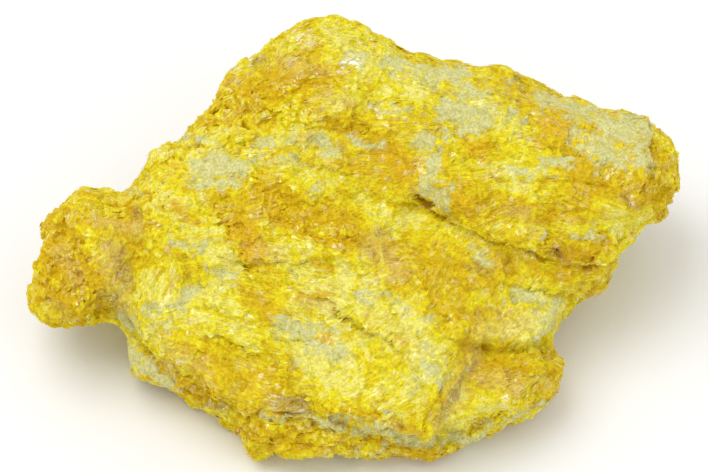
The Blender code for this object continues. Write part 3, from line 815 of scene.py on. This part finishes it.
def makeOreGroup():
    # Colour, roughness and height of the ore, from the fields on the mesh
    group = bpy.data.node_groups.new("oreSurface", "ShaderNodeTree")
    addSockets(group, "INPUT", "Vector", "Place", "Bundle")
    addSockets(group, "INPUT", "Float", *(name.capitalize() for name in oreMasks))
    addSockets(group, "OUTPUT", "Color", "Color")
    addSockets(group, "OUTPUT", "Float", "Roughness", "Height", "Clay Cover", "Shine")
    given = addNode(group, "NodeGroupInput").outputs
    result = addNode(group, "NodeGroupOutput").inputs
    look = oreLook
    patterns = {
        name: noiseNode(group, given[follows], *sizes) for name, (follows, *sizes) in orePatterns.items()
    }

    # Streaks along the blades fade out where two bundles meet
    for name in ("broad", "fine", "thin"):
        patterns[name] = plus(group, swing(group, patterns[name], given["Inside"]), 0.5)
    # Mottles are round where the ore is crumbly, and drawn out along the blades where it isn't
    drawnShare = times(group, given["Inside"], minus(group, 1.0, given["Crumb"]))
    difference = minus(group, patterns["drawn"], patterns["rounded"])
    patterns["patchy"] = plus(group, patterns["rounded"], times(group, difference, drawnShare))
    patterns["tone"] = given["Tone"]

    grainGap, grainNumbers = cellNode(group, given["Place"], look["grainsInMetre"])
    split = addNode(group, "ShaderNodeSeparateColor")
    feed(group, grainNumbers, split.inputs["Color"])

    # Lemon to ochre: painted light makes the high grains paler and the edges of each grain more golden, as
    # in shade; the ore also varies along the blades and from bundle to bundle
    goldness = given["Gold"]
    for name, share in look["goldShares"].items():
        goldness = plus(group, goldness, swing(group, patterns[name], share))
    grainShare = slopeNode(group, given["Crumb"], 1.0, *look["grainShare"])
    goldness = plus(group, goldness, swing(group, split.outputs["Red"], grainShare))
    goldness = plus(group, goldness, times(group, given["High"], look["paintedLightOnHigh"]))
    # Painted shade: each grain is more golden towards its edges
    goldness = plus(group, goldness, times(group, grainGap, grainShare))
    tones = addNode(group, "ShaderNodeValToRGB")
    while len(tones.color_ramp.elements) < len(look["toneStops"]):
        tones.color_ramp.elements.new(0.5)
    for element, (name, at) in zip(tones.color_ramp.elements, look["toneStops"]):
        element.position = at
        element.color = oreColours[name]
    feed(group, goldness, tones.inputs["Fac"])
    colour = tones.outputs["Color"]

    # Tan and pinkish blades between the yellow ones, mauve grains and orange stains
    for name, field, pattern, edge, most in look["tints"]:
        share = edgeNode(group, patterns[pattern], *edge)
        if field:
            share = times(group, given[field], share)
        colour = blendNode(group, times(group, share, most), colour, oreColours[name])
    share = plus(group, given["Orange"], minus(group, patterns["ragged"], 0.5))
    share = times(group, edgeNode(group, share, *look["orangeEdge"]), look["orangeShare"])
    colour = blendNode(group, share, colour, oreColours["orange"])

    # Clay lies over the ore with a ragged edge, and grains show through it
    clayEdge = given["Clay"]
    calm = slopeNode(group, given["Clay"], *look["clayCalm"], 1.0)
    for name, share in look["clayShares"].items():
        clayEdge = plus(group, clayEdge, times(group, swing(group, patterns[name], share), calm))
    clayCover = edgeNode(group, clayEdge, *look["clayEdge"])
    bare = minus(group, 1.0, clayCover)
    clayMix = plus(group, *(times(group, patterns[name], share) for name, share in look["clayMix"].items()))
    clayColour = blendNode(group, edgeNode(group, clayMix, *look["paleClayEdge"]),
                           oreColours["clay"], oreColours["paleClay"])
    colour = blendNode(group, times(group, clayCover, look["clayShare"]), colour, clayColour)

    # Painted shade darkens the cracks and the gaps between grains, with real dark specks mixed in
    everywhere, whereCrumbly = look["speckShare"]
    specks = edgeNode(group, patterns["specks"], *look["speckEdge"])
    specks = times(group, specks, plus(group, times(group, given["Crumb"], whereCrumbly), everywhere))
    specks = times(group, specks, minus(group, 1.0, times(group, clayCover, look["specksUnderClay"])))
    shade = plus(group, plus(group, given["Shade"], specks),
                 swing(group, patterns["ragged"], look["shadeRagged"]))
    shade = times(group, edgeNode(group, shade, *look["shadeEdge"]), look["shadeShare"])
    colour = blendNode(group, shade, colour, oreColours["shadeAndSpeckBrown"])
    # Painted gleam: a near-white highlight laid into the colour on thin clean faces
    gleam = times(group, given["Gleam"], edgeNode(group, patterns["fine"], *look["paintedGleamEdge"]))
    colour = blendNode(group, gleam, colour, oreColours["gleam"])
    speckle = addNode(group, "ShaderNodeHueSaturation")
    feed(group, colour, speckle.inputs["Color"])
    bright = plus(group, swing(group, patterns["powder"], look["powderBrightness"]), 1.0)
    feed(group, bright, speckle.inputs["Value"])
    feed(group, speckle.outputs["Color"], result["Color"])

    # Most of the ore is dull; here and there a clean face shines
    rough = look["roughness"]
    glint = times(group, edgeNode(group, split.outputs["Green"], *look["glintEdge"]), bare)
    glint = calc(group, "MAXIMUM", glint, gleam)
    oreRoughness = plus(group, times(group, glint, rough["glint"]), rough["ore"])
    clayRoughness = times(group, clayCover, rough["clay"])
    feed(group, calc(group, "MAXIMUM", oreRoughness, clayRoughness), result["Roughness"])
    feed(group, times(group, glint, look["glintCoat"]), result["Shine"])

    share = look["heights"]
    height = plus(group, *(times(group, patterns[name], share[name]) for name in ("fine", "broad")))
    height = plus(group, times(group, height, bare), times(group, patterns["powder"], share["powder"]))
    grainHeight = times(group, times(group, grainGap, given["Crumb"]), share["grains"])
    feed(group, minus(group, height, grainHeight), result["Height"])
    feed(group, clayCover, result["Clay Cover"])
    return group


facetsInMm = (0.7, 2.6, 2.6)    # along, across and up through the blades


def makeFacetGroup():
    # Small crystal faces that catch the light, each leaning its own way
    group = bpy.data.node_groups.new("crystalFacets", "ShaderNodeTree")
    addSockets(group, "INPUT", "Vector", "Bundle", "Normal")
    addSockets(group, "INPUT", "Float", "Strength")
    addSockets(group, "OUTPUT", "Vector", "Normal")
    given = addNode(group, "NodeGroupInput").outputs
    result = addNode(group, "NodeGroupOutput").inputs
    cellNumbers = cellNode(group, vectorNode(group, "MULTIPLY", given["Bundle"], facetsInMm), 1.0)[1]
    lean = vectorNode(group, "SUBTRACT", cellNumbers, (0.5, 0.5, 0.5))
    lean = vectorNode(group, "SCALE", lean, given["Strength"])
    turned = vectorNode(group, "ADD", lean, given["Normal"])
    feed(group, vectorNode(group, "NORMALIZE", turned), result["Normal"])
    return group


def makeOreMaterial(name, oreGroup, facetGroup, facetStrength, bumpDepth):  # the depth is in mm
    material = bpy.data.materials.new(name)
    material.use_nodes = True
    tree = material.node_tree
    shader = tree.nodes["Principled BSDF"]
    setInputs(shader, IOR=1.6, **{
        "Subsurface Weight": 0.2, "Subsurface Scale": 0.4 * mm, "Subsurface Radius": (1.0, 0.8, 0.2),
        "Specular IOR Level": 0.14, "Coat Roughness": 0.18, "Coat IOR": 2.1})

    def readValues(field, output):
        return addNode(tree, "ShaderNodeAttribute", attribute_name=field).outputs[output]

    surface = addNode(tree, "ShaderNodeGroup", node_tree=oreGroup)
    place = addNode(tree, "ShaderNodeTexCoord").outputs["Object"]
    bundle = readValues("bundlePlace", "Vector")
    feed(tree, place, surface.inputs["Place"])
    feed(tree, bundle, surface.inputs["Bundle"])
    masks = {field: readValues(field, "Fac") for field in oreMasks}
    for field, values in masks.items():
        feed(tree, values, surface.inputs[field.capitalize()])
    for output, socket in (("Color", "Base Color"), ("Roughness", "Roughness"), ("Shine", "Coat Weight")):
        feed(tree, surface.outputs[output], shader.inputs[socket])

    facets = addNode(tree, "ShaderNodeGroup", node_tree=facetGroup)
    bare = times(tree, minus(tree, 1.0, surface.outputs["Clay Cover"]), masks["inside"])
    feed(tree, bundle, facets.inputs["Bundle"])
    feed(tree, addNode(tree, "ShaderNodeNewGeometry").outputs["Normal"], facets.inputs["Normal"])
    feed(tree, times(tree, bare, facetStrength), facets.inputs["Strength"])
    bump = addNode(tree, "ShaderNodeBump")
    setInputs(bump, Strength=1.0, Distance=bumpDepth * mm)
    feed(tree, surface.outputs["Height"], bump.inputs["Height"])
    feed(tree, facets.outputs["Normal"], bump.inputs["Normal"])
    feed(tree, bump.outputs["Normal"], shader.inputs["Normal"])
    return material


# Loose blades and crumbs that stand out of the surface

# Density counts the grains on a square millimetre where there are most of them. Lengths are the largest in
# mm, Tilt is degrees out of the surface at most, and Sink is mm into the surface
bladeSettings = {
    "Density": 3.2, "Length": 2.2, "Width": 0.17, "Thickness": 0.09, "Tilt": 3.0, "Sink": 0.03, "Seed": 7,
}
needleSettings = {
    "Density": 5.0, "Length": 1.7, "Width": 0.11, "Thickness": 0.07, "Tilt": 4.0, "Sink": 0.02, "Seed": 83,
}
flakeSettings = {
    "Density": 0.35, "Length": 2.4, "Width": 1.1, "Thickness": 0.16, "Tilt": 6.0, "Sink": 0.04, "Seed": 57,
}
crumbSettings = {
    "Density": 0.55, "Length": 0.95, "Width": 0.75, "Thickness": 0.60, "Tilt": 60.0, "Sink": 0.16,
    "Seed": 23,
}
grainSettings = {
    "Density": 1.6, "Length": 0.55, "Width": 0.42, "Thickness": 0.36, "Tilt": 70.0, "Sink": 0.07,
    "Seed": 41,
}
shortest = 0.35             # share of the largest size
shapeNumbers = 59           # shapes are picked by a random number from 0 to this
toneRange = (-0.9, 1.9)     # wider than the ground's 0 to 1, so that single grains stand out
tiltShares = {"X": (-2.0, 2.0, 1), "Y": (-1.0, 0.4, 2), "Z": (-1.2, 1.2, 3)}     # of Tilt, and their salt
sizeSalts = {"Length": ("X", 4), "Width": ("Y", 5), "Thickness": ("Z", 6)}


def makeBladeShapes(sides):  # flat prisms one unit long, with slanting broken ends
    for slant in (0.12, -0.20, 0.05):
        made = bmesh.new()
        turned = Matrix.Rotation(math.pi / 2.0, 4, "Y")
        bmesh.ops.create_cone(made, cap_ends=True, segments=sides, radius1=0.5, radius2=0.5, depth=1.0,
                              matrix=turned)
        for vert in made.verts:
            narrow = 0.55 if vert.co.x > 0.0 else 0.8
            vert.co.x += slant * vert.co.y + 0.5 * slant * vert.co.z
            vert.co.y *= narrow
            vert.co.z *= narrow
        yield made


def makeFlakeShapes():  # thin cleavage flakes, longer than wide, with a broken outline
    for salt in range(5):
        corners = np.arange(6)[:, None] * (1, 1, 1) + 17 * salt
        angles = (np.arange(6) + 0.7 * (hashNumbers(corners, 3) - 0.5)) * math.pi / 3.0
        reach = 0.32 + 0.20 * hashNumbers(corners, 5)
        made = bmesh.new()
        rings = []
        for level, spread in ((-0.5, 1.0), (0.5, 0.86)):
            rings.append([made.verts.new((spread * r * math.cos(a), spread * r * math.sin(a), level))
                          for a, r in zip(angles, reach)])
        made.faces.new(rings[1])
        made.faces.new(list(reversed(rings[0])))
        for k in range(6):
            made.faces.new((rings[0][k], rings[0][(k + 1) % 6], rings[1][(k + 1) % 6], rings[1][k]))
        yield made


def makeCrumbShapes():
    for salt in range(4):
        made = bmesh.new()
        bmesh.ops.create_icosphere(made, subdivisions=1, radius=0.5)
        points = np.array([vert.co[:] for vert in made.verts])
        swell = softNoise(points * 3.0 + 5.0, 1.0, 501 + 40 * salt)
        for vert, more in zip(made.verts, swell):
            vert.co *= 1.0 + 0.5 * more
        yield made


def makeGrainShapes():  # slanted splinters of eight faces
    for slant in (0.35, -0.25, 0.1):
        made = bmesh.new()
        top, low = made.verts.new((0.1, 0.05, 0.5)), made.verts.new((-0.1, -0.05, -0.5))
        ring = [made.verts.new((0.5 * math.cos(a) + slant * 0.2, 0.5 * math.sin(a), slant * math.sin(a)))
                for a in (0.2, 1.7, 3.4, 4.9)]
        for first, second in zip(ring, ring[1:] + ring[:1]):
            made.faces.new((first, second, top))
            made.faces.new((second, first, low))
        yield made


def gather(name, shapes):  # a collection of the shapes that one kind of grain is picked from
    collection = bpy.data.collections.new(name)
    for made in shapes:
        bmesh.ops.triangulate(made, faces=made.faces)
        bmesh.ops.recalc_face_normals(made, faces=made.faces)
        mesh = bpy.data.meshes.new(name)
        made.to_mesh(mesh)
        made.free()
        collection.objects.link(bpy.data.objects.new(name, mesh))
    return collection


def makeScatterTree():
    # Puts one shape all over a surface, along the grain where it has one
    tree = bpy.data.node_groups.new("scatterOnOre", "GeometryNodeTree")
    for kind in ("Geometry", "Material"):
        addSockets(tree, "INPUT", kind, kind)
    addSockets(tree, "INPUT", "Collection", "Shapes")
    addSockets(tree, "INPUT", "String", "Cover")
    addSockets(tree, "INPUT", "Float", "Density", "Length", "Width", "Thickness", "Tilt", "Sink")
    addSockets(tree, "INPUT", "Int", "Seed")
    addSockets(tree, "OUTPUT", "Geometry", "Geometry")
    given = addNode(tree, "NodeGroupInput").outputs
    result = addNode(tree, "NodeGroupOutput").inputs

    def randomValue(low, high, salt, kind="FLOAT"):
        node = addNode(tree, "FunctionNodeRandomValue", data_type=kind)
        for value, socket in zip((low, high), enabled(node.inputs)):
            socket.default_value = value
        feed(tree, plus(tree, given["Seed"], salt), node.inputs["Seed"])
        return enabled(node.outputs)[0]

    def groundField(name, kind="FLOAT_VECTOR"):
        node = addNode(tree, "GeometryNodeInputNamedAttribute", data_type=kind)
        feed(tree, name, node.inputs["Name"])
        return enabled(node.outputs)[0]

    spots = addNode(tree, "GeometryNodeDistributePointsOnFaces", distribute_method="RANDOM")
    perMetre = times(tree, given["Density"], 1.0 / mm**2)
    feed(tree, given["Geometry"], spots.inputs["Mesh"])
    feed(tree, times(tree, perMetre, groundField(given["Cover"], "FLOAT")), spots.inputs["Density"])
    feed(tree, given["Seed"], spots.inputs["Seed"])

    # A grain lies along the blades under it, and is tilted a little
    stand = addNode(tree, "FunctionNodeAxesToRotation", primary_axis="Z", secondary_axis="X")
    feed(tree, groundField("plainNormal"), stand.inputs["Primary Axis"])
    feed(tree, groundField("grainWay"), stand.inputs["Secondary Axis"])
    turns = addNode(tree, "ShaderNodeCombineXYZ")
    tilt = times(tree, given["Tilt"], math.radians(1.0))
    for axis, span in tiltShares.items():
        feed(tree, times(tree, tilt, randomValue(*span)), turns.inputs[axis])
    asTurn = addNode(tree, "FunctionNodeEulerToRotation")
    feed(tree, turns.outputs[0], asTurn.inputs[0])
    turned = addNode(tree, "FunctionNodeRotateRotation", rotation_space="LOCAL")
    feed(tree, stand.outputs["Rotation"], turned.inputs["Rotation"])
    feed(tree, asTurn.outputs[0], turned.inputs["Rotate By"])

    sizes = addNode(tree, "ShaderNodeCombineXYZ")
    for name, (axis, salt) in sizeSalts.items():
        size = times(tree, randomValue(shortest, 1.0, salt), given[name])
        feed(tree, times(tree, size, mm), sizes.inputs[axis])

    shapes = addNode(tree, "GeometryNodeCollectionInfo")
    setInputs(shapes, **{"Separate Children": True, "Reset Children": True})
    feed(tree, given["Shapes"], shapes.inputs["Collection"])
    pick = randomValue(0, shapeNumbers, 9, "INT")
    copies = addNode(tree, "GeometryNodeInstanceOnPoints")
    for value, socket in (
        (spots.outputs["Points"], "Points"), (shapes.outputs[0], "Instance"), (True, "Pick Instance"),
        (pick, "Instance Index"), (turned.outputs["Rotation"], "Rotation"), (sizes.outputs[0], "Scale"),
    ):
        feed(tree, value, copies.inputs[socket])
    sunk = addNode(tree, "GeometryNodeTranslateInstances")
    sink = vectorNode(tree, "SCALE", spots.outputs["Normal"], times(tree, given["Sink"], -mm))
    for value, socket in ((copies.outputs[0], "Instances"), (sink, "Translation"), (False, "Local Space")):
        feed(tree, value, sunk.inputs[socket])

    toned = addNode(tree, "GeometryNodeStoreNamedAttribute", data_type="FLOAT", domain="INSTANCE")
    feed(tree, sunk.outputs[0], toned.inputs["Geometry"])
    feed(tree, "tone", toned.inputs["Name"])
    feed(tree, randomValue(*toneRange, 7), next(s for s in enabled(toned.inputs) if s.name == "Value"))
    real = addNode(tree, "GeometryNodeRealizeInstances")
    feed(tree, toned.outputs[0], real.inputs["Geometry"])
    painted = addNode(tree, "GeometryNodeSetMaterial")
    feed(tree, real.outputs[0], painted.inputs["Geometry"])
    feed(tree, given["Material"], painted.inputs["Material"])
    feed(tree, painted.outputs[0], result["Geometry"])
    return tree


def scatter(name, tree, rock, shapes, material, cover, settings):
    piece = bpy.data.objects.new(name, rock.data.copy())
    bpy.context.scene.collection.objects.link(piece)
    modifier = piece.modifiers.new("scatter", "NODES")
    modifier.node_group = tree
    values = {"Shapes": gather(name, shapes), "Material": material, "Cover": cover, **settings}
    for item in tree.interface.items_tree:
        if item.in_out == "INPUT" and item.name in values:
            modifier[item.identifier] = values[item.name]
    bpy.context.view_layer.update()
    made = bpy.data.meshes.new_from_object(piece.evaluated_get(bpy.context.evaluated_depsgraph_get()))
    piece.modifiers.remove(modifier)
    piece.data = made
    writePoints(made, np.clip(readPoints(made), boxLow, boxHigh))
    print(name + ":", len(made.polygons), "faces")
    return piece


def makeFloor():
    made = bmesh.new()
    bmesh.ops.create_grid(made, x_segments=1, y_segments=1, size=3.0)
    mesh = bpy.data.meshes.new("floor")
    made.to_mesh(mesh)
    made.free()
    floor = bpy.data.objects.new("floor", mesh)
    bpy.context.scene.collection.objects.link(floor)
    material = bpy.data.materials.new("paleFloor")
    material.use_nodes = True
    setInputs(material.node_tree.nodes["Principled BSDF"], Roughness=0.9, **{
        "Base Color": (0.9, 0.9, 0.9, 1.0), "Specular IOR Level": 0.1})
    mesh.materials.append(material)
    return floor


studio = {
    "sky": 0.80,
    "key": {"place": (-0.4, 0.0, 1.0), "size": 0.8, "power": 5.1},
    "fill": {"place": (0.6, -0.6, 0.7), "size": 0.7, "power": 1.2},
}


def makeLight(name, place, size, power, target):
    lamp = bpy.data.lights.new(name, "AREA")
    lamp.size = size
    lamp.energy = power
    light = bpy.data.objects.new(name, lamp)
    light.location = place
    light.rotation_mode = "QUATERNION"
    light.rotation_quaternion = (target - Vector(place)).to_track_quat("-Z", "Y")
    bpy.context.scene.collection.objects.link(light)


def makeStudio(target):
    world = bpy.data.worlds.new("whiteRoom")
    world.use_nodes = True
    setInputs(world.node_tree.nodes["Background"], Color=(1.0, 1.0, 1.0, 1.0), Strength=studio["sky"])
    bpy.context.scene.world = world
    for name in ("key", "fill"):
        makeLight(name, target=target, **studio[name])
    bpy.context.scene.view_settings.view_transform = "Standard"


def makeCamera():
    shown = photoView["width"] * photoView["mmPerPixel"]
    lens = bpy.data.cameras.new("camera")
    lens.lens = photoView["lens"]
    lens.sensor_width = photoView["sensor"]
    distance = shown * lens.lens / lens.sensor_width
    depth = nodePoints @ towardsCamera
    target = seenMiddle[0] * np.array([1.0, 0.0, 0.0]) + seenMiddle[1] * seenUp
    target = target + np.percentile(depth, 60) * towardsCamera
    camera = bpy.data.objects.new("camera", lens)
    camera.location = (target + distance * towardsCamera) * mm
    camera.rotation_mode = "QUATERNION"
    camera.rotation_quaternion = (-Vector(towardsCamera)).to_track_quat("-Z", "Y")
    lens.clip_start, lens.clip_end = 0.05, 10.0
    bpy.context.scene.collection.objects.link(camera)
    bpy.context.scene.camera = camera
    return Vector(target * mm)


target = makeCamera()
makeStudio(target)
floor = makeFloor()
print("studio ready")

rock = makeRock()
oreGroup = makeOreGroup()
facetGroup = makeFacetGroup()
rockMaterial = makeOreMaterial("oreSkin", oreGroup, facetGroup, facetStrength=0.35, bumpDepth=0.09)
bladeMaterial = makeOreMaterial("bladeSkin", oreGroup, facetGroup, facetStrength=0.15, bumpDepth=0.02)
rock.data.materials.append(rockMaterial)

scatterTree = makeScatterTree()
pieces = [rock]
for name, shapes, cover, settings in (
    ("blades", makeBladeShapes(4), "bladeCover", bladeSettings),
    ("needles", makeBladeShapes(3), "bladeCover", needleSettings),
    ("flakes", makeFlakeShapes(), "flakeCover", flakeSettings),
    ("crumbs", makeCrumbShapes(), "crumbCover", crumbSettings),
    ("grains", makeGrainShapes(), "crumbCover", grainSettings),
):
    pieces.append(scatter(name, scatterTree, rock, shapes, bladeMaterial, cover, settings))

for piece in pieces:
    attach(piece, "root")
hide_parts("orpiment_specimen")
